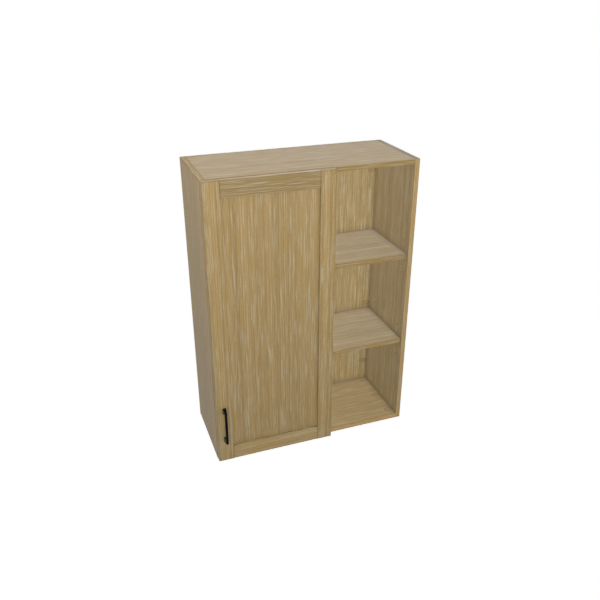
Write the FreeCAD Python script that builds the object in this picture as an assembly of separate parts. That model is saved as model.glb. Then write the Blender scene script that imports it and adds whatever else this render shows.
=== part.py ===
import FreeCAD, Part
import os

# Blind corner wall cabinet, in millimetres. X runs right along the wall, Y runs back to the wall, Z is up.
# The origin is the middle of the face that lies on the wall.

# Carcass
width = 762.0
height = 1066.8
depth = 304.8
board = 18.0
back_board = 12.0
band = 2.0
board_ease = 0.8

# Door, measured from the carcass front and from the left outer face
door_side = 449.0
door_thick = 19.0
door_gap = 3.0
door_reveal = 1.5
frame_member = 57.15
panel_thick = 6.0
panel_recess = 9.5
groove_depth = 10.0
groove_play = 0.1
panel_play = 1.0
bevel = 1.0

# Shelves, pins and their rows of holes
shelf_setback = 8.5
shelf_end_play = 1.0
shelf_back_play = 1.5
notch_play = 1.0
pin_r = 2.5
pin_play = 0.05
pin_in = 9.0
pin_out = 9.0
pin_flange_r = 3.6
pin_flange = 0.7
shelf_on_pin = 0.1
hole_pitch = 32.0
holes_per_row = 5
hole_depth = 11.0
pin_row_front = 42.0
pin_row_back = 246.0

# Panel connectors, sunk flush in the inner face of a panel near its end
lobe_r = 7.5
lobe_step = 7.0
lobe_first = 11.5
lobe_count = 3
connector_play = 0.1
connector_rim = 0.8
connector_tall = 10.6
back_connector_tall = 8.2
connector_inset = 40.0
back_connector_inset = 108.0
back_connector_count = 4
connector_screw_r = 2.5
connector_screw_in = 10.0
connector_bore_past = 2.0
ring_r = 5.2
ring_wide = 1.2
ring_deep = 0.6
dimple_r = 1.2
dimple_deep = 1.5
socket_r = 2.6
socket_deep = 5.0

# Hinge post and dowels
post_deep = 80.0
dowel_r = 4.0
dowel_play = 0.05
dowel_end_play = 0.5
dowel_inset = 22.0
dowel_in_panel = 11.0
dowel_in_post = 18.0

# Concealed hinge with one pivot
hinge_inset = 100.0
cup_r = 17.5
cup_tab = 3.0
cup_deep = 13.5
cup_wall = 0.8
cup_play = 0.1
cup_flange = 1.0
wing_half = 29.0
wing_inner = 15.5
wing_outer = 3.5
pivot_inset = 7.0
pivot_forward = 12.5
pivot_r = 1.25
pivot_play = 0.06
pivot_half = 8.4
eye_r = 2.4
eye_half = 4.0
lug_from = 4.6
lug_to = 8.6
lug_inner = 2.8
lug_outer = 5.0
lug_behind_pivot = 2.6
arm_thick = 3.0
arm_half = 9.0
arm_neck = 4.0
arm_shoulder = 12.0
arm_end = 62.0
foot_behind_pivot = 0.5
plate_thick = 2.0
plate_from = 14.0
plate_to = 66.0
plate_half = 24.0
plate_corner = 5.0

# Screws of the hinge
plate_row = 37.0
plate_screw_half = 16.0
plate_screw_r = 1.9
plate_screw_in = 13.0
plate_head_r = 3.6
plate_head = 1.8
fixing_row = 54.0
fixing_r = 2.0
fixing_past = 3.0
fixing_slot_play = 0.2
fixing_relief_play = 0.5
fixing_head_r = 4.0
fixing_head = 2.4
adjuster_row = 24.0
adjuster_r = 2.5
adjuster_proud = 1.5
cup_screw_half = 22.5
cup_screw_back = 9.5
cup_screw_r = 1.75
cup_screw_in = 10.0
cup_head_r = 3.2
cup_head = 1.4
screw_play = 0.05
screw_end_play = 0.5
cross_long = 3.8
cross_wide = 0.9
cross_deep = 1.0

# Bar pull, with posts that widen towards the door on all sides
pull_centres = 128.0
pull_height = 159.5
pull_from_edge = 29.7
pull_wide = 9.5
pull_bar_deep = 5.0
pull_reach = 23.5
pull_post_tall = 12.0
pull_flare_side = 2.2
pull_flare_outer = 4.0
pull_flare_inner = 7.0
pull_ease = 0.5
pull_screw_r = 2.0
pull_screw_head_r = 4.0
pull_screw_head = 2.0
pull_screw_in_post = 10.0
pull_hole_play = 0.15

# Bumpers and wall screw holes
bumper_r = 4.75
bumper_tall = 2.7
bumper_from_end = 10.0
wall_hole_r = 3.0
wall_hole_across = 406.4
wall_hole_shift = -15.0
wall_hole_inset = 60.0

# Edges this close to a plane lie on it
plane_tolerance = 0.001

# Planes that everything is tied to
x_left = -width / 2
x_right = width / 2
y_front = -depth
z_low = -height / 2
z_high = height / 2
in_left = x_left + board
in_right = x_right - board
in_low = z_low + board
in_high = z_high - board
in_back = -back_board
core_front = y_front + band
post_right = x_left + door_side
post_left = post_right - board
post_back = y_front + post_deep
door_left = x_left + door_reveal
door_right = post_right
door_low = z_low + door_reveal
door_high = z_high - door_reveal
door_back = y_front - door_gap
door_front = door_back - door_thick
panel_front = door_front + panel_recess
panel_back = panel_front + panel_thick
stile_in_left = door_left + frame_member
stile_in_right = door_right - frame_member
rail_low = door_low + frame_member
rail_high = door_high - frame_member
bay = (in_high - in_low - 2 * board) / 3
shelf_levels = {"lower": in_low + bay, "upper": in_low + 2 * bay + board}
pin_levels = {name: level - shelf_on_pin - pin_r for name, level in shelf_levels.items()}
hinge_levels = {"lower": z_low + hinge_inset, "middle": 0.0, "upper": z_high - hinge_inset}
pivot_x = door_right - pivot_inset
pivot_y = y_front - pivot_forward
cup_x = door_right - cup_tab - cup_r
cup_floor = door_back - cup_deep
plate_face = post_left - plate_thick
arm_face = plate_face - arm_thick
panel_ends = ((in_left, 1), (in_right, -1))


def box(x0, x1, y0, y1, z0, z1):
    corner = FreeCAD.Vector(x0, y0, z0)
    return Part.makeBox(x1 - x0, y1 - y0, z1 - z0, corner)


def rod(r, start, axis, length):
    return Part.makeCylinder(r, length, FreeCAD.Vector(*start), FreeCAD.Vector(*axis))


def prism(points, push):
    corners = [FreeCAD.Vector(*p) for p in points]
    face = Part.Face(Part.makePolygon(corners + corners[:1]))
    return face.extrude(FreeCAD.Vector(*push))


def joined(shapes):
    return shapes[0].fuse(shapes[1:]).removeSplitter()


def on_plane(edge, y):
    return all(abs(vertex.Y - y) < plane_tolerance for vertex in edge.Vertexes)


# A board or its edge strip with the arrises taken off, but not those where board and strip meet
def eased(shape, joint_y):
    return shape.makeChamfer(board_ease, [edge for edge in shape.Edges if not on_plane(edge, joint_y)])


def save(name, shapes):
    solids = shapes if isinstance(shapes, list) else [shapes]
    whole = solids[0] if len(solids) == 1 else Part.makeCompound(solids)
    whole.exportStep(os.path.join("parts", name + ".step"))


# Rows of holes in a side: each shelf has one near the front and one near the back, with its pin in the middle
def pin_hole_tools(x_face, inward):
    tools = []
    reach = (holes_per_row - 1) / 2
    for middle in pin_levels.values():
        for row in (pin_row_front, pin_row_back):
            for step in range(holes_per_row):
                z = middle + (step - reach) * hole_pitch
                start = (x_face, y_front + row, z)
                tools.append(rod(pin_r + pin_play, start, (-inward, 0, 0), hole_depth))
    return tools


# A connector seat is the panel end, the way into the panel from that end, the point of the inner face above
# the connector's screw, the way out of that face, and how deep the connector is sunk
connector_rows = (connector_inset, depth / 2, depth - connector_inset)
back_step = (height - 2 * back_connector_inset) / (back_connector_count - 1)
back_rows = [z_low + back_connector_inset + i * back_step for i in range(back_connector_count)]


def seats(panel, x_end, inward):
    if panel == "top":
        return [(x_end, inward, (y_front + y, in_high), (0, -1), connector_tall) for y in connector_rows]
    if panel == "bottom":
        return [(x_end, inward, (y_front + y, in_low), (0, 1), connector_tall) for y in connector_rows]
    return [(x_end, inward, (in_back, z), (-1, 0), back_connector_tall) for z in back_rows]


def panel_seats(panel):
    return [seat for x_end, inward in panel_ends for seat in seats(panel, x_end, inward)]


def lobe_x(x_end, inward, number):
    return x_end + inward * (lobe_first + number * lobe_step)


def sunk_rod(r, x, face_point, out, deep):
    return rod(r, (x, *face_point), (0, -out[0], -out[1]), deep)


def lobes(x_end, inward, face_point, out, r, deep):
    return joined([sunk_rod(r, lobe_x(x_end, inward, i), face_point, out, deep) for i in range(lobe_count)])


def screw_line(face_point, out, tall):
    return (face_point[0] - out[0] * tall / 2, face_point[1] - out[1] * tall / 2)


def connector(x_end, inward, face_point, out, tall):
    rim_point = (face_point[0] - out[0] * connector_rim, face_point[1] - out[1] * connector_rim)
    outer_r = lobe_r - connector_play
    base = lobes(x_end, inward, rim_point, out, outer_r, tall - connector_rim)
    face = lobes(x_end, inward, face_point, out, outer_r - connector_rim, connector_rim)
    body = joined([base, face])
    bore_start = (x_end, *screw_line(face_point, out, tall))
    bore = rod(connector_screw_r + screw_play, bore_start, (inward, 0, 0), lobe_first + connector_bore_past)
    ring_x = lobe_x(x_end, inward, 0)
    ring = sunk_rod(ring_r, ring_x, face_point, out, ring_deep)
    ring_core = sunk_rod(ring_r - ring_wide, ring_x, face_point, out, ring_deep)
    dimple = sunk_rod(dimple_r, lobe_x(x_end, inward, 1), face_point, out, dimple_deep)
    socket = sunk_rod(socket_r, lobe_x(x_end, inward, lobe_count - 1), face_point, out, socket_deep)
    return body.cut([bore, ring.cut(ring_core), dimple, socket])


def connector_pocket(x_end, inward, face_point, out, tall):
    pocket = lobes(x_end, inward, face_point, out, lobe_r, tall + connector_play)
    bore_start = (x_end, *screw_line(face_point, out, tall))
    bore = rod(connector_screw_r + screw_play, bore_start, (inward, 0, 0), lobe_first)
    return [pocket, bore]


def connector_screw(x_end, inward, face_point, out, tall):
    start = (x_end - inward * connector_screw_in, *screw_line(face_point, out, tall))
    return rod(connector_screw_r, start, (inward, 0, 0), connector_screw_in + lobe_first)


def side_screw_hole(x_end, inward, face_point, out, tall):
    start = (x_end, *screw_line(face_point, out, tall))
    return rod(connector_screw_r + screw_play, start, (-inward, 0, 0), connector_screw_in + screw_end_play)


def pocket_tools(panel):
    return [tool for seat in panel_seats(panel) for tool in connector_pocket(*seat)]


def side_screw_tools(x_end, inward):
    panels = ("top", "bottom", "back")
    return [side_screw_hole(*seat) for panel in panels for seat in seats(panel, x_end, inward)]


# Dowels of the hinge post, two at each end
dowel_x = (post_left + post_right) / 2
dowel_ys = (y_front + dowel_inset, post_back - dowel_inset)
dowel_joints = ((in_low, -1), (in_high, 1))


def dowels(play, end_play):
    rods = []
    for y in dowel_ys:
        for z_joint, up in dowel_joints:
            start = (dowel_x, y, z_joint - up * (dowel_in_post + end_play))
            rods.append(rod(dowel_r + play, start, (0, 0, up), dowel_in_post + dowel_in_panel + 2 * end_play))
    return rods


# Cross recess in a screw head: two crossed slots that go down from the top of the head
def cross_recess(top, down):
    turn = FreeCAD.Rotation(FreeCAD.Vector(0, 0, 1), FreeCAD.Vector(*down))
    slots = []
    for across, along in ((cross_wide, cross_long), (cross_long, cross_wide)):
        slot = box(-across / 2, across / 2, -along / 2, along / 2, 0, cross_deep)
        slot.Placement = FreeCAD.Placement(FreeCAD.Vector(*top), turn)
        slots.append(slot)
    return slots


# Hinge screws without their heads, used as screws and, with some play, as the holes they sit in
def plate_screw(z, side, play, end_play):
    start = (plate_face, y_front + plate_row, z + side * plate_screw_half)
    return rod(plate_screw_r + play, start, (1, 0, 0), plate_thick + plate_screw_in + end_play)


def fixing_screw(z, play, end_play):
    start = (arm_face, y_front + fixing_row, z)
    return rod(fixing_r + play, start, (1, 0, 0), arm_thick + plate_thick + fixing_past + end_play)


def cup_screw(z, side, play, end_play):
    start = (cup_x - cup_screw_back, door_back + cup_flange, z + side * cup_screw_half)
    return rod(cup_screw_r + play, start, (0, -1, 0), cup_flange + cup_screw_in + end_play)


os.makedirs("parts", exist_ok=True)

# Carcass boards: the sides run full height and depth, top and bottom stand between them in front of the back
for name, x0, x1, x_end, inward in (
    ("left", x_left, in_left, in_left, 1),
    ("right", in_right, x_right, in_right, -1),
):
    side = eased(box(x0, x1, core_front, 0, z_low, z_high), core_front)
    save(name + "_side", side.cut(pin_hole_tools(x_end, inward) + side_screw_tools(x_end, inward)))
    save(name + "_side_edge_band", eased(box(x0, x1, y_front, core_front, z_low, z_high), core_front))

for name, z0, z1 in (("top", in_high, z_high), ("bottom", z_low, in_low)):
    panel = eased(box(in_left, in_right, core_front, in_back, z0, z1), core_front)
    save(name + "_panel", panel.cut(pocket_tools(name) + dowels(dowel_play, dowel_end_play)))
    save(name + "_panel_edge_band", eased(box(in_left, in_right, y_front, core_front, z0, z1), core_front))

wall_holes = [
    rod(wall_hole_r, (wall_hole_shift + side * wall_hole_across / 2, in_back, z), (0, 1, 0), back_board)
    for side in (-1, 1)
    for z in (z_low + wall_hole_inset, z_high - wall_hole_inset)
]
back = box(in_left, in_right, in_back, 0, z_low, z_high)
save("back_panel", back.cut(pocket_tools("back") + wall_holes))

# Hinge post behind the hinge edge of the door, let into top and bottom with dowels
post = eased(box(post_left, post_right, core_front, post_back, in_low, in_high), core_front)
post_tools = dowels(dowel_play, dowel_end_play)
for z in hinge_levels.values():
    post_tools += [plate_screw(z, side, screw_play, screw_end_play) for side in (-1, 1)]
    post_tools.append(fixing_screw(z, fixing_relief_play, screw_end_play))
save("hinge_post", post.cut(post_tools))
post_band = box(post_left, post_right, y_front, core_front, in_low, in_high)
save("hinge_post_edge_band", eased(post_band, core_front))
save("post_dowels", dowels(0, 0))

# Panel connectors and their screws
for panel in ("top", "bottom", "back"):
    save(panel + "_connectors", [connector(*seat) for seat in panel_seats(panel)])
    save(panel + "_connector_screws", [connector_screw(*seat) for seat in panel_seats(panel)])

# Shelves with a notch around the hinge post, each on four pins
shelf_front = y_front + shelf_setback
shelf_core_front = shelf_front + band
shelf_left = in_left + shelf_end_play
shelf_right = in_right - shelf_end_play
notch_left = post_left - notch_play
notch_right = post_right + notch_play
for name, z in shelf_levels.items():
    shelf = box(shelf_left, shelf_right, shelf_core_front, in_back - shelf_back_play, z, z + board)
    notch = box(notch_left, notch_right, shelf_front, post_back + notch_play, z, z + board)
    save(name + "_shelf", eased(shelf, shelf_core_front).cut(notch))
    strips = [
        eased(box(x0, x1, shelf_front, shelf_core_front, z, z + board), shelf_core_front)
        for x0, x1 in ((shelf_left, notch_left), (notch_right, shelf_right))
    ]
    save(name + "_shelf_edge_band", strips)
    pins = []
    for x_face, inward in panel_ends:
        for row in (pin_row_front, pin_row_back):
            y = y_front + row
            shank_start = (x_face - inward * pin_in, y, pin_levels[name])
            shank = rod(pin_r, shank_start, (inward, 0, 0), pin_in + pin_out)
            flange = rod(pin_flange_r, (x_face, y, pin_levels[name]), (inward, 0, 0), pin_flange)
            pins.append(joined([shank, flange]))
    save(name + "_shelf_pins", pins)

# Door frame: the stiles run full height with a groove on the inner edge, and the rails carry tongues into it
groove_front = panel_front - groove_play
groove_back = panel_back + groove_play


def stile(x_out, x_in, inward):
    groove_x = x_in - inward * groove_depth
    points = [
        (x_out, door_back), (x_out, door_front + bevel), (x_out + inward * bevel, door_front),
        (x_in - inward * bevel, door_front), (x_in, door_front + bevel), (x_in, groove_front),
        (groove_x, groove_front), (groove_x, groove_back), (x_in, groove_back), (x_in, door_back),
    ]
    return prism([(x, y, door_low) for x, y in points], (0, 0, door_high - door_low))


def rail(z_out, z_in, inward):
    groove_z = z_in - inward * groove_depth
    points = [
        (door_back, z_out), (door_front + bevel, z_out), (door_front, z_out + inward * bevel),
        (door_front, z_in - inward * bevel), (door_front + bevel, z_in), (groove_front, z_in),
        (groove_front, groove_z), (groove_back, groove_z), (groove_back, z_in), (door_back, z_in),
    ]
    bar = prism([(stile_in_left, y, z) for y, z in points], (stile_in_right - stile_in_left, 0, 0))
    front_ends = [edge for edge in bar.Edges if on_plane(edge, door_front) and edge.Length < frame_member]
    bar = bar.makeChamfer(bevel, front_ends)
    low = min(z_out, groove_z)
    high = max(z_out, groove_z)
    reach = groove_depth - groove_play
    tongues = [
        box(x0, x0 + reach, panel_front, panel_back, low, high)
        for x0 in (stile_in_left - reach, stile_in_right)
    ]
    return joined([bar] + tongues)


pull_x = door_left + pull_from_edge
pull_z = z_low + pull_height
pull_ends = ((pull_z - pull_centres / 2, 1), (pull_z + pull_centres / 2, -1))


def pull_screw(z, play, end_play):
    length = door_thick + pull_screw_in_post + end_play
    return rod(pull_screw_r + play, (pull_x, door_back, z), (0, -1, 0), length)


pull_holes = [pull_screw(z, pull_hole_play, screw_end_play) for z, inward in pull_ends]
save("door_left_stile", stile(door_left, stile_in_left, 1).cut(pull_holes))

cup_tools = []
for z in hinge_levels.values():
    cup_tools.append(rod(cup_r + cup_play, (cup_x, door_back, z), (0, -1, 0), cup_deep + cup_play))
    cup_tools += [cup_screw(z, side, screw_play, screw_end_play) for side in (-1, 1)]
save("door_right_stile", stile(door_right, stile_in_right, -1).cut(cup_tools))
save("door_top_rail", rail(door_high, rail_high, -1))
save("door_bottom_rail", rail(door_low, rail_low, 1))

panel_reach = groove_depth - panel_play
panel_left = stile_in_left - panel_reach
panel_right = stile_in_right + panel_reach
panel_low = rail_low - panel_reach
panel_high = rail_high + panel_reach
save("door_panel", box(panel_left, panel_right, panel_front, panel_back, panel_low, panel_high))

bumper_x = x_left + board / 2
bumper_zs = (door_low + bumper_from_end, door_high - bumper_from_end)
save("door_bumpers", [rod(bumper_r, (bumper_x, door_back, z), (0, 1, 0), bumper_tall) for z in bumper_zs])

# Bar pull: a flat bar on two tapered posts, held by screws through the stile. A post is what its two tapers,
# seen from the side and from above, have in common.
pull_left = pull_x - pull_wide / 2
pull_right = pull_x + pull_wide / 2
foot_left = pull_left - pull_flare_side
foot_right = pull_right + pull_flare_side
bar_front = door_front - pull_reach
bar_back = bar_front + pull_bar_deep
bar_half = (pull_centres + pull_post_tall) / 2
pull_bar = box(pull_left, pull_right, bar_front, bar_back, pull_z - bar_half, pull_z + bar_half)
save("pull_bar", pull_bar.makeChamfer(pull_ease, pull_bar.Edges))

pull_posts = []
pull_screws = []
for z, inward in pull_ends:
    outer = z - inward * pull_post_tall / 2
    inner = z + inward * pull_post_tall / 2
    foot_outer = outer - inward * pull_flare_outer
    foot_inner = inner + inward * pull_flare_inner
    from_side = [(bar_back, outer), (door_front, foot_outer), (door_front, foot_inner), (bar_back, inner)]
    from_above = [
        (pull_left, bar_back), (pull_right, bar_back), (foot_right, door_front), (foot_left, door_front),
    ]
    side_taper = prism([(foot_left, y, h) for y, h in from_side], (foot_right - foot_left, 0, 0))
    top_taper = prism([(x, y, foot_outer) for x, y in from_above], (0, 0, foot_inner - foot_outer))
    block = side_taper.common(top_taper)
    arrises = [edge for edge in block.Edges if edge.BoundBox.YLength > (door_front - bar_back) / 2]
    block = block.makeChamfer(pull_ease, arrises)
    pull_posts.append(block.cut(pull_screw(z, screw_play, screw_end_play)))
    head = rod(pull_screw_head_r, (pull_x, door_back, z), (0, 1, 0), pull_screw_head)
    recess = cross_recess((pull_x, door_back + pull_screw_head, z), (0, -1, 0))
    pull_screws.append(joined([pull_screw(z, 0, 0), head]).cut(recess))
save("pull_posts", pull_posts)
save("pull_screws", pull_screws)


# Hinges: plate on the post, cranked arm with an eye inside the cup, cup in the stile, pin through eye and cup
def hinge_plate(z):
    y0 = y_front + plate_from
    blank = box(plate_face, post_left, y0, y_front + plate_to, z - plate_half, z + plate_half)
    corners = [edge for edge in blank.Edges if edge.BoundBox.XLength > plate_thick / 2]
    plate = blank.makeFillet(plate_corner, corners)
    tools = [plate_screw(z, side, screw_play, screw_end_play) for side in (-1, 1)]
    return plate.cut(tools + [fixing_screw(z, screw_play, screw_end_play)])


def hinge_arm(z):
    eye_front = pivot_y - eye_r
    neck = y_front + arm_neck
    shoulder = y_front + arm_shoulder
    end = y_front + arm_end
    outline = [
        (eye_front, -eye_half), (neck, -eye_half), (shoulder, -arm_half), (end, -arm_half),
        (end, arm_half), (shoulder, arm_half), (neck, eye_half), (eye_front, eye_half),
    ]
    strip = prism([(arm_face, y, z + h) for y, h in outline], (arm_thick, 0, 0))
    foot_back = pivot_y + foot_behind_pivot
    foot = box(arm_face, pivot_x, eye_front, foot_back, z - eye_half, z + eye_half)
    eye = rod(eye_r, (pivot_x, pivot_y, z - eye_half), (0, 0, 1), 2 * eye_half)
    bore = rod(pivot_r + pivot_play, (pivot_x, pivot_y, z - eye_half), (0, 0, 1), 2 * eye_half)
    slot = fixing_screw(z, fixing_slot_play, screw_end_play)
    adjuster_hole = rod(adjuster_r + screw_play, (arm_face, y_front + adjuster_row, z), (1, 0, 0), arm_thick)
    return joined([strip, foot, eye]).cut([bore, slot, adjuster_hole])


def hinge_pin(z):
    return rod(pivot_r, (pivot_x, pivot_y, z - pivot_half), (0, 0, 1), 2 * pivot_half)


def hinge_cup(z):
    shell = rod(cup_r, (cup_x, door_back, z), (0, -1, 0), cup_deep)
    flange_back = door_back + cup_flange
    hollow_deep = cup_deep + cup_flange - cup_wall
    hollow = rod(cup_r - cup_wall, (cup_x, flange_back, z), (0, -1, 0), hollow_deep)
    wings = box(cup_x - wing_inner, cup_x + wing_outer, door_back, flange_back, z - wing_half, z + wing_half)
    room = rod(cup_r - cup_wall / 2, (cup_x, door_back, z), (0, -1, 0), cup_deep)
    lug_front = cup_floor + cup_wall / 2
    lug_back = pivot_y + lug_behind_pivot
    lugs = [
        box(pivot_x - lug_inner, pivot_x + lug_outer, lug_front, lug_back, z + low, z + high).common(room)
        for low, high in ((lug_from, lug_to), (-lug_to, -lug_from))
    ]
    body = joined([joined([shell, wings]).cut(hollow)] + lugs)
    return body.cut([hinge_pin(z)] + [cup_screw(z, side, screw_play, screw_end_play) for side in (-1, 1)])


plate_screws = []
arm_screws = []
cup_screws = []
for name, z in hinge_levels.items():
    save(name + "_hinge_plate", hinge_plate(z))
    save(name + "_hinge_arm", hinge_arm(z))
    save(name + "_hinge_cup", hinge_cup(z))
    save(name + "_hinge_pin", hinge_pin(z))
    for side in (-1, 1):
        plate_at = (plate_face, y_front + plate_row, z + side * plate_screw_half)
        head = rod(plate_head_r, plate_at, (-1, 0, 0), plate_head)
        recess = cross_recess((plate_face - plate_head, plate_at[1], plate_at[2]), (1, 0, 0))
        plate_screws.append(joined([plate_screw(z, side, 0, 0), head]).cut(recess))
        cup_at = (cup_x - cup_screw_back, door_back + cup_flange, z + side * cup_screw_half)
        head = rod(cup_head_r, cup_at, (0, 1, 0), cup_head)
        recess = cross_recess((cup_at[0], cup_at[1] + cup_head, cup_at[2]), (0, -1, 0))
        cup_screws.append(joined([cup_screw(z, side, 0, 0), head]).cut(recess))
    head = rod(fixing_head_r, (arm_face, y_front + fixing_row, z), (-1, 0, 0), fixing_head)
    recess = cross_recess((arm_face - fixing_head, y_front + fixing_row, z), (1, 0, 0))
    arm_screws.append(joined([fixing_screw(z, 0, 0), head]).cut(recess))
    adjuster_at = (arm_face - adjuster_proud, y_front + adjuster_row, z)
    adjuster = rod(adjuster_r, adjuster_at, (1, 0, 0), adjuster_proud + arm_thick)
    arm_screws.append(adjuster.cut(cross_recess(adjuster_at, (1, 0, 0))))
save("hinge_plate_screws", plate_screws)
save("hinge_arm_screws", arm_screws)
save("hinge_cup_screws", cup_screws)
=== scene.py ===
import math
import bmesh
import bpy
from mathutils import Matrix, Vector


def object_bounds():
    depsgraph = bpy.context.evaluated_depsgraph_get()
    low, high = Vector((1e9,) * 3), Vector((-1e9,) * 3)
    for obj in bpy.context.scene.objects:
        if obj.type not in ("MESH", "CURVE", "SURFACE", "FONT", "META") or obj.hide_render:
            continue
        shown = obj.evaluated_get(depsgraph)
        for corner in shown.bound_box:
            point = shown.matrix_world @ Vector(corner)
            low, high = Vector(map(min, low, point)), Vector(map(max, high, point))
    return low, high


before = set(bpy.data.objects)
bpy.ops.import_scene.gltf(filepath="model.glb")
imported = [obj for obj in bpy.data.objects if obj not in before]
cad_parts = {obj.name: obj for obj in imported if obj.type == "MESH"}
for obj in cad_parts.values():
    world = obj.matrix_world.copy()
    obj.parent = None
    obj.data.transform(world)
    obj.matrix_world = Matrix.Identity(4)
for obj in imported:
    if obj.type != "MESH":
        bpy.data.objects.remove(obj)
cad_low, cad_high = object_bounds()

# Side boards of the carcass
# Two full-height boards of particle board faced with straight-grained oak veneer, limed and sealed with a
# dull lacquer. The grain stands upright, and a 2 mm strip of oak is ironed on the front edge. Rows of 5 mm
# holes for shelf pins are drilled in the inner faces.


def linear(hex_colour):
    parts = [int(hex_colour[i:i + 2], 16) / 255 for i in (0, 2, 4)]
    return [c / 12.92 if c <= 0.04045 else ((c + 0.055) / 1.055) ** 2.4 for c in parts] + [1.0]


def add(tree, kind, inputs, **settings):
    node = tree.nodes.new(kind)
    for name, value in settings.items():
        setattr(node, name, value)
    for socket, value in inputs.items():
        if isinstance(value, bpy.types.NodeSocket):
            tree.links.new(value, node.inputs[socket])
        else:
            node.inputs[socket].default_value = value
    return node


def new_material(name):
    material = bpy.data.materials.new(name)
    material.use_nodes = True
    material.node_tree.nodes.clear()
    return material


def dress(node, material):
    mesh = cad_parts[node].data
    mesh.materials.clear()
    mesh.materials.append(material)


# Limed oak: quarter-sawn fibres give fine straight streaks, white lime fills the open vessels as pale dashes
# along the grain, and the dull lacquer shows a soft white sheen at a low angle. Painted shade darkens the wood
# in corners and joints, and painted shade lines run along the arrises. Real vessels are about 0.3 mm wide, too
# fine to show, so each line of them is drawn 2.5 mm wide. The grain follows the board, and on its end faces
# the strip glued there. Grain sizes are in millimetres, and the reach of the painted shade in metres.
upright = {"X": (0, math.radians(-90), 0), "Y": (math.radians(90), 0, 0), "Z": (0, 0, 0)}
axis_of = {"X": (1, 0, 0), "Y": (0, 1, 0), "Z": (0, 0, 1)}
oak_layers = {
    "cloud": {"across": 45, "along": 900, "detail": 1, "distortion": 0.2},
    "fibre": {"across": 1.2, "along": 120, "detail": 1, "distortion": 0},
    "pore": {"across": 0.8, "along": 9, "detail": 0, "distortion": 0},
}
vessel_wide = 2.5
vessel_long = 100
line_shift = (900, 900, 900)
lime_white = "C1BEAA"
pore_brown = "705A33"
# Reach of the painted corner shade, in metres.
shade_reach = 0.03
arris_wide = 0.0045
inner_corner = 0.55
band_arris = 0.9
end_facing = 0.7
end_dullness = 0.12
board_count = 0


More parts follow.
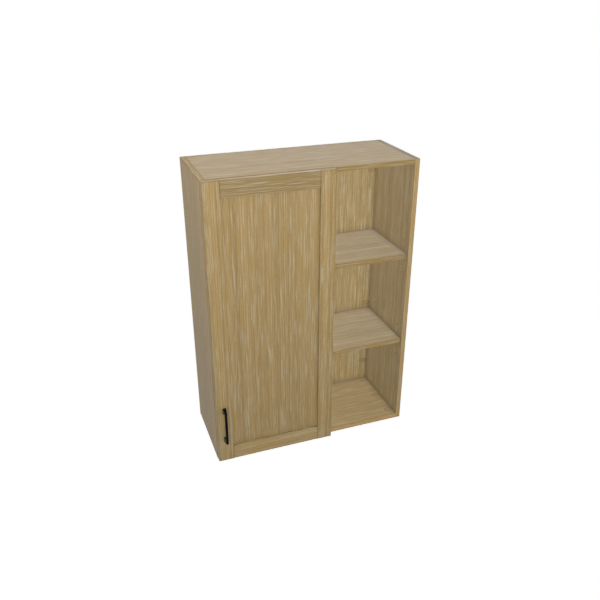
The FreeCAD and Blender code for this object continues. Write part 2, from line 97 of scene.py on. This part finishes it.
def limed_oak(name, along, ends, tone="A38A58", lime=0.38, end_shade=0.86,
              arris_shade=0.3, corner_shade=0.35):
    global board_count
    board_count += 1
    cut_from = (0.37 * board_count, 0.53 * board_count, 0.71 * board_count)
    material = new_material(name)
    tree = material.node_tree
    place = add(tree, "ShaderNodeTexCoord", {}).outputs
    face = add(tree, "ShaderNodeMapping",
               {"Vector": place["Object"], "Location": cut_from, "Rotation": upright[along]}).outputs[0]
    end = add(tree, "ShaderNodeMapping",
              {"Vector": place["Object"], "Location": cut_from, "Rotation": upright[ends]}).outputs[0]
    facing = add(tree, "ShaderNodeVectorMath", {0: place["Normal"], 1: axis_of[along]},
                 operation="DOT_PRODUCT")
    facing = add(tree, "ShaderNodeMath", {0: facing.outputs["Value"]}, operation="ABSOLUTE").outputs[0]
    on_end = add(tree, "ShaderNodeMath", {0: facing, 1: end_facing}, operation="GREATER_THAN").outputs[0]
    grain = add(tree, "ShaderNodeMix", {0: on_end, 4: face, 5: end}, data_type="VECTOR").outputs[1]
    pattern = {}
    for layer, size in oak_layers.items():
        per_metre = (1000 / size["across"], 1000 / size["across"], 1000 / size["along"])
        scaled = add(tree, "ShaderNodeMapping", {"Vector": grain, "Scale": per_metre}).outputs[0]
        pattern[layer] = add(tree, "ShaderNodeTexNoise", {
            "Vector": scaled, "Scale": 1.0, "Detail": size["detail"], "Roughness": 0.6,
            "Distortion": size["distortion"],
        }).outputs["Fac"]
    across = (1000 / vessel_wide, 1000 / vessel_wide, 0)
    line = add(tree, "ShaderNodeMapping", {"Vector": grain, "Scale": across}).outputs[0]
    line = add(tree, "ShaderNodeVectorMath", {0: line}, operation="FLOOR").outputs[0]
    chance = add(tree, "ShaderNodeTexWhiteNoise", {"Vector": line}).outputs
    lengthwise = (0, 0, 1000 / vessel_long)
    along_line = add(tree, "ShaderNodeMapping", {"Vector": grain, "Scale": lengthwise}).outputs[0]
    along_line = add(tree, "ShaderNodeVectorMath", {0: chance["Color"], 1: line_shift, 2: along_line},
                     operation="MULTIPLY_ADD").outputs[0]
    dashes = add(tree, "ShaderNodeTexNoise", {"Vector": along_line, "Scale": 1.0, "Detail": 1}).outputs["Fac"]
    streaks = add(tree, "ShaderNodeMapRange", {
        "Value": chance["Value"], "From Min": 0.0, "From Max": 1.0, "To Min": 0.79, "To Max": 1.13})
    fibres = add(tree, "ShaderNodeMapRange", {
        "Value": pattern["fibre"], "From Min": 0.2, "From Max": 0.8, "To Min": 0.95, "To Max": 1.05})
    clouds = add(tree, "ShaderNodeMapRange", {
        "Value": pattern["cloud"], "From Min": 0.3, "From Max": 0.7, "To Min": 0.97, "To Max": 1.03})
    shade = add(tree, "ShaderNodeMath", {0: streaks.outputs[0], 1: fibres.outputs[0]}, operation="MULTIPLY")
    shade = add(tree, "ShaderNodeMath", {0: shade.outputs[0], 1: clouds.outputs[0]}, operation="MULTIPLY")
    strip = add(tree, "ShaderNodeMapRange", {"Value": on_end, "To Min": 1.0, "To Max": end_shade})
    shade = add(tree, "ShaderNodeMath", {0: shade.outputs[0], 1: strip.outputs[0]}, operation="MULTIPLY")
    wood = add(tree, "ShaderNodeVectorMath", {0: linear(tone)[:3], 3: shade.outputs[0]}, operation="SCALE")
    limed = add(tree, "ShaderNodeMapRange", {
        "Value": dashes, "From Min": 0.52, "From Max": 0.7, "To Min": 0.0, "To Max": lime})
    wood = add(tree, "ShaderNodeMix", {0: limed.outputs[0], 6: wood.outputs[0], 7: linear(lime_white)},
               data_type="RGBA")
    open_pore = add(tree, "ShaderNodeMapRange", {
        "Value": pattern["pore"], "From Min": 0.62, "From Max": 0.72, "To Min": 0.0, "To Max": 0.4})
    wood = add(tree, "ShaderNodeMix", {0: open_pore.outputs[0], 6: wood.outputs[2], 7: linear(pore_brown)},
               data_type="RGBA")
    # Painted shade: ambient occlusion darkens the wood in corners and joints, as dark as corner_shade allows.
    corners = add(tree, "ShaderNodeAmbientOcclusion", {"Distance": shade_reach}, samples=8).outputs["AO"]
    painted_shade = add(tree, "ShaderNodeMapRange", {"Value": corners, "To Min": corner_shade, "To Max": 1.0})
    # Painted shade lines: occlusion inside the board darkens a thin band along every arris and joint, as dark
    # as arris_shade allows.
    arrises = add(tree, "ShaderNodeAmbientOcclusion", {"Distance": arris_wide}, samples=8, inside=True,
                  only_local=True).outputs["AO"]
    painted_edge_shade = add(tree, "ShaderNodeMapRange", {"Value": arrises, "To Min": arris_shade, "To Max": 1.0})
    painted_shade = add(tree, "ShaderNodeMath", {0: painted_shade.outputs[0], 1: painted_edge_shade.outputs[0]}, operation="MULTIPLY")
    wood = add(tree, "ShaderNodeVectorMath", {0: wood.outputs[2], 3: painted_shade.outputs[0]}, operation="SCALE")
    dull = add(tree, "ShaderNodeMapRange", {
        "Value": pattern["fibre"], "From Min": 0.2, "From Max": 0.8, "To Min": 0.44, "To Max": 0.54})
    dull = add(tree, "ShaderNodeMath", {0: on_end, 1: end_dullness, 2: dull.outputs[0]},
               operation="MULTIPLY_ADD")
    relief = add(tree, "ShaderNodeMath", {0: pattern["fibre"], 1: open_pore.outputs[0]}, operation="SUBTRACT")
    bump = add(tree, "ShaderNodeBump", {"Height": relief.outputs[0], "Strength": 0.25, "Distance": 0.0002})
    lacquer = add(tree, "ShaderNodeBsdfPrincipled", {
        "Base Color": wood.outputs[0], "Roughness": dull.outputs[0], "IOR": 1.5, "Normal": bump.outputs[0]})
    add(tree, "ShaderNodeOutputMaterial", {"Surface": lacquer.outputs[0]})
    return material


# The right side's tone is paler and greyer than the left's; the difference partly paints the sheen on its
# inner face.
for side, tone, end_shade in (("left_side", "9E824E", 0.78), ("right_side", "998868", 0.6)):
    dress(side, limed_oak(side + "_oak", along="Z", ends="Y", tone=tone, end_shade=end_shade,
                          corner_shade=inner_corner))
    dress(side + "_edge_band", limed_oak(side + "_band_oak", along="Z", ends="X", tone="AF9363",
                                         arris_shade=band_arris))

# Top and bottom boards
# Veneered boards between the sides, with the grain running across the cabinet and a thin strip of oak ironed
# on the front edge. They stop in front of the back panel.
for board, tone, lime, band_tone in (
    ("top_panel", "897040", 0.33, "988053"),
    ("bottom_panel", "978257", 0.38, "BC9C65"),
):
    dress(board, limed_oak(board + "_oak", along="X", ends="Y", tone=tone, lime=lime))
    dress(board + "_edge_band", limed_oak(board + "_band_oak", along="X", ends="Z", tone=band_tone,
                                          arris_shade=band_arris))

# Back panel
# A 12 mm veneered board let in between the sides, over the full height, with its grain upright. Connectors at
# both edges hold it, and four holes near its corners take the wall screws.
# Its paler tone and heavier lime partly paint the brighter light in the open bay.
dress("back_panel", limed_oak("back_panel_oak", along="Z", ends="X", tone="A18D64", lime=0.52,
                              corner_shade=inner_corner))

# Panel connectors and their screws
# Moulded fittings pressed into three overlapping holes near the end of each panel. A steel screw in the side
# board runs into each one, and a turn of the small socket draws the joint tight.


# Moulded plastic: the spark-worn mould leaves a fine texture that dulls the shine, and painted shade darkens
# hollows.
def moulded_plastic(name, colour, hollow_shade_reach=0.003):
    material = new_material(name)
    tree = material.node_tree
    place = add(tree, "ShaderNodeTexCoord", {}).outputs["Object"]
    spark_pit = 0.6
    spark = add(tree, "ShaderNodeTexNoise", {
        "Vector": place, "Scale": 1000 / spark_pit, "Detail": 2}).outputs["Fac"]
    dull = add(tree, "ShaderNodeMapRange", {"Value": spark, "To Min": 0.4, "To Max": 0.55})
    bump = add(tree, "ShaderNodeBump", {"Height": spark, "Strength": 0.15, "Distance": 0.0001})
    # Painted shade: ambient occlusion darkens the plastic in its hollows and pockets.
    hollows = add(tree, "ShaderNodeAmbientOcclusion", {"Distance": hollow_shade_reach}, samples=8).outputs["AO"]
    hollow_shade = add(tree, "ShaderNodeMapRange", {
        "Value": hollows, "From Min": 0.4, "From Max": 0.95, "To Min": 0.15, "To Max": 1.0})
    shaded_colour = add(tree, "ShaderNodeVectorMath", {0: linear(colour)[:3], 3: hollow_shade.outputs[0]}, operation="SCALE")
    mould = add(tree, "ShaderNodeBsdfPrincipled", {
        "Base Color": shaded_colour.outputs[0], "Roughness": dull.outputs[0], "IOR": 1.49, "Normal": bump.outputs[0]})
    add(tree, "ShaderNodeOutputMaterial", {"Surface": mould.outputs[0]})
    return material


# Plated steel: a thin bright coat of zinc or nickel, with patches that handling has rubbed duller.
def plated_steel(name, colour, roughness):
    material = new_material(name)
    tree = material.node_tree
    place = add(tree, "ShaderNodeTexCoord", {}).outputs["Object"]
    patch_wide = 2.5
    rub = add(tree, "ShaderNodeTexNoise", {
        "Vector": place, "Scale": 1000 / patch_wide, "Detail": 3}).outputs["Fac"]
    dull = add(tree, "ShaderNodeMapRange", {
        "Value": rub, "To Min": roughness - 0.06, "To Max": roughness + 0.08})
    steel = add(tree, "ShaderNodeBsdfPrincipled", {
        "Base Color": linear(colour), "Metallic": 1.0, "Roughness": dull.outputs[0]})
    add(tree, "ShaderNodeOutputMaterial", {"Surface": steel.outputs[0]})
    return material


connector_plastic = moulded_plastic("connector_plastic", "9B855E")
zinc_steel = plated_steel("zinc_steel", "B9B7B0", 0.36)
for panel in ("top", "bottom", "back"):
    dress(panel + "_connectors", connector_plastic)
    dress(panel + "_connector_screws", zinc_steel)

# Hinge post
# A narrow upright behind the hinge edge of the door, doweled into the top and bottom boards. It carries the
# hinge plates, because the side of the blind part is too far away.
dress("hinge_post", limed_oak("hinge_post_oak", along="Z", ends="Y"))
dress("hinge_post_edge_band", limed_oak("hinge_post_band_oak", along="Z", ends="X", arris_shade=band_arris))
dress("post_dowels", limed_oak("beech_dowel", along="Z", ends="X", tone="CDAE80"))

# Shelves
# Two loose boards on four steel pins each, notched around the hinge post. The grain runs across the cabinet,
# and the front edges have ironed-on strips.
nickel_pin = plated_steel("nickel_pin", "BEBBB2", 0.3)
for level, band_tone in (("lower", "A88E5B"), ("upper", "9B8152")):
    # The shelves' paler, greyer tone partly paints the white sheen on their tops.
    dress(level + "_shelf", limed_oak(level + "_shelf_oak", along="X", ends="Y", tone="9E8D6E", lime=0.3))
    dress(level + "_shelf_edge_band", limed_oak(level + "_shelf_band_oak", along="X", ends="Z", tone=band_tone,
                                                arris_shade=band_arris))
    dress(level + "_shelf_pins", nickel_pin)

# Door frame and panel
# Solid oak stiles run the full height of the door, the rails stand between them with tongues in the stiles'
# grooves, and a thin veneered panel floats in the groove all round.
for stile in ("door_left_stile", "door_right_stile"):
    dress(stile, limed_oak(stile + "_oak", along="Z", ends="X", tone="A1885A"))
for rail, tone in (("door_top_rail", "927C53"), ("door_bottom_rail", "A99060")):
    dress(rail, limed_oak(rail + "_oak", along="X", ends="Z", tone=tone, corner_shade=0.0))
dress("door_panel", limed_oak("door_panel_oak", along="Z", ends="X", tone="9F8659", corner_shade=0.7))

# Bumpers
# Two small pads of clear rubber, moulded and stuck on the back of the door near its free corners, so that it
# shuts without a knock.
dress("door_bumpers", moulded_plastic("bumper_rubber", "C9C9C2"))

# Bar pull
# A flat steel bar on two posts that widen towards the door, powder coated satin black. Screws from behind run
# through the stile into the posts.


# Powder coat: the baked powder keeps a fine grit that breaks the shine, with a faint sheen at a low angle.
def powder_coat(name, colour):
    material = new_material(name)
    tree = material.node_tree
    place = add(tree, "ShaderNodeTexCoord", {}).outputs["Object"]
    grit_wide = 0.5
    grit = add(tree, "ShaderNodeTexNoise", {
        "Vector": place, "Scale": 1000 / grit_wide, "Detail": 2}).outputs["Fac"]
    dull = add(tree, "ShaderNodeMapRange", {"Value": grit, "To Min": 0.38, "To Max": 0.52})
    bump = add(tree, "ShaderNodeBump", {"Height": grit, "Strength": 0.2, "Distance": 0.0001})
    coat = add(tree, "ShaderNodeBsdfPrincipled", {
        "Base Color": linear(colour), "Roughness": dull.outputs[0], "IOR": 1.5, "Specular IOR Level": 0.06,
        "Sheen Weight": 0.15, "Sheen Roughness": 0.4, "Normal": bump.outputs[0]})
    add(tree, "ShaderNodeOutputMaterial", {"Surface": coat.outputs[0]})
    return material


black_coat = powder_coat("satin_black_coat", "030304")
dress("pull_bar", black_coat)
dress("pull_posts", black_coat)
dress("pull_screws", zinc_steel)

# Hinges
# Three concealed hinges of nickel-plated steel. A plate is screwed to the post, a cranked arm is fixed on the
# plate, and its eye turns on a pin in the cup that is let into the door stile.
nickel_steel = plated_steel("nickel_steel", "C4C1B8", 0.28)
for level in ("lower", "middle", "upper"):
    for piece in ("plate", "arm", "cup", "pin"):
        dress(level + "_hinge_" + piece, nickel_steel)
for screws in ("hinge_plate_screws", "hinge_arm_screws", "hinge_cup_screws"):
    dress(screws, zinc_steel)

# Floor
# Plain pale floor of a studio, painted matt. The cabinet hangs on a wall, so the floor lies well below it. A
# glow lifts it to white where the skylight reaches it, so that the cabinet's shadow stays.
hang_height = 1.37
floor_reach = 20.0
white_lift = 0.86
gloss_drop = -0.25
sheet = bmesh.new()
bmesh.ops.create_grid(sheet, x_segments=1, y_segments=1, size=floor_reach)
bmesh.ops.translate(sheet, verts=sheet.verts, vec=(0, 0, cad_low.z - hang_height))
floor_mesh = bpy.data.meshes.new("floor")
sheet.to_mesh(floor_mesh)
sheet.free()
floor = bpy.data.objects.new("floor", floor_mesh)
bpy.context.scene.collection.objects.link(floor)


def seen_directly(tree):
    path = add(tree, "ShaderNodeLightPath", {}).outputs
    seen = add(tree, "ShaderNodeMath", {0: path["Is Camera Ray"], 1: path["Is Glossy Ray"]},
               operation="MAXIMUM")
    seen = add(tree, "ShaderNodeMath", {0: seen.outputs[0], 1: path["Is Transmission Ray"]},
               operation="MAXIMUM")
    return seen.outputs[0]


floor_paint = new_material("floor_paint")
tree = floor_paint.node_tree
matt = add(tree, "ShaderNodeBsdfDiffuse", {"Color": linear("E6E6E4")})
glossy = add(tree, "ShaderNodeLightPath", {}).outputs["Is Glossy Ray"]
lift = add(tree, "ShaderNodeMath", {0: seen_directly(tree), 1: white_lift}, operation="MULTIPLY").outputs[0]
lift = add(tree, "ShaderNodeMath", {0: glossy, 1: gloss_drop, 2: lift}, operation="MULTIPLY_ADD")
glow = add(tree, "ShaderNodeEmission", {"Color": linear("FFFFFF"), "Strength": lift.outputs[0]})
both = add(tree, "ShaderNodeAddShader", {0: matt.outputs[0], 1: glow.outputs[0]})
add(tree, "ShaderNodeOutputMaterial", {"Surface": both.outputs[0]})
floor_mesh.materials.append(floor_paint)

# Studio light
# Broad shadowless panels in front, at both sides, overhead and on the wall side light the open bay as evenly
# as the door, and leave the floor alone. A soft skylight casts the cabinet's shadow on the floor. The
# surround is white.
world = bpy.data.worlds.new("studio")
world.use_nodes = True
world.node_tree.nodes.clear()
tree = world.node_tree
level_light = add(tree, "ShaderNodeBackground", {"Color": linear("FFFFFF"), "Strength": 0.06})
white_surround = add(tree, "ShaderNodeBackground", {"Color": linear("FFFFFF"), "Strength": 1.0})
sky = add(tree, "ShaderNodeMixShader",
          {0: seen_directly(tree), 1: level_light.outputs[0], 2: white_surround.outputs[0]})
add(tree, "ShaderNodeOutputWorld", {"Surface": sky.outputs[0]})
bpy.context.scene.world = world
off_the_floor = bpy.data.collections.new("off_the_floor")
off_the_floor.objects.link(floor)
off_the_floor.collection_objects[0].light_linking.link_state = "EXCLUDE"
for name, place, width, watts in (
    ("front_panel", (-0.25, -2.72, 1.27), 1.6, 73),
    ("left_panel", (-1.8, -0.5, 1.75), 1.4, 26),
    ("right_panel", (2.7, -0.3, -0.7), 1.4, 50),
    ("wall_panel", (-0.3, 2.7, -0.7), 1.4, 50),
    ("top_panel", (0.0, -0.26, 2.99), 1.6, 12),
    ("rear_panel", (1.0, 2.72, 1.35), 2.6, 16),
):
    lamp = bpy.data.lights.new(name + "_light", "AREA")
    lamp.shape = "SQUARE"
    lamp.size = width
    lamp.energy = watts
    lamp.use_shadow = False
    lamp.cycles.use_multiple_importance_sampling = False
    lamp_object = bpy.data.objects.new(name + "_light", lamp)
    lamp_object.location = place
    lamp_object.rotation_euler = (-Vector(place)).to_track_quat("-Z", "Y").to_euler()
    lamp_object.visible_camera = False
    lamp_object.visible_glossy = name == "rear_panel"
    lamp_object.light_linking.receiver_collection = off_the_floor
    bpy.context.scene.collection.objects.link(lamp_object)
skylight_heading = Vector((-0.1, -0.35, -1.0))
skylight = bpy.data.lights.new("skylight", "SUN")
skylight.energy = 0.45
skylight.angle = math.radians(14)
skylight_object = bpy.data.objects.new("skylight", skylight)
skylight_object.rotation_euler = skylight_heading.to_track_quat("-Z", "Y").to_euler()
bpy.context.scene.collection.objects.link(skylight_object)

# Camera
# It stands in front of the door side, above the top of the cabinet, and looks down at it with a slightly long
# lens, so that the uprights draw together towards the floor.
camera = bpy.data.cameras.new("camera")
camera.lens = 39.555
camera.sensor_width = 36
camera_object = bpy.data.objects.new("camera", camera)
camera_object.location = (-0.7597, -2.2432, 1.0947)
camera_object.rotation_euler = (math.radians(63.65), 0, math.radians(-20.027))
bpy.context.scene.collection.objects.link(camera_object)
bpy.context.scene.camera = camera_object
bpy.context.scene.view_settings.view_transform = "Standard"
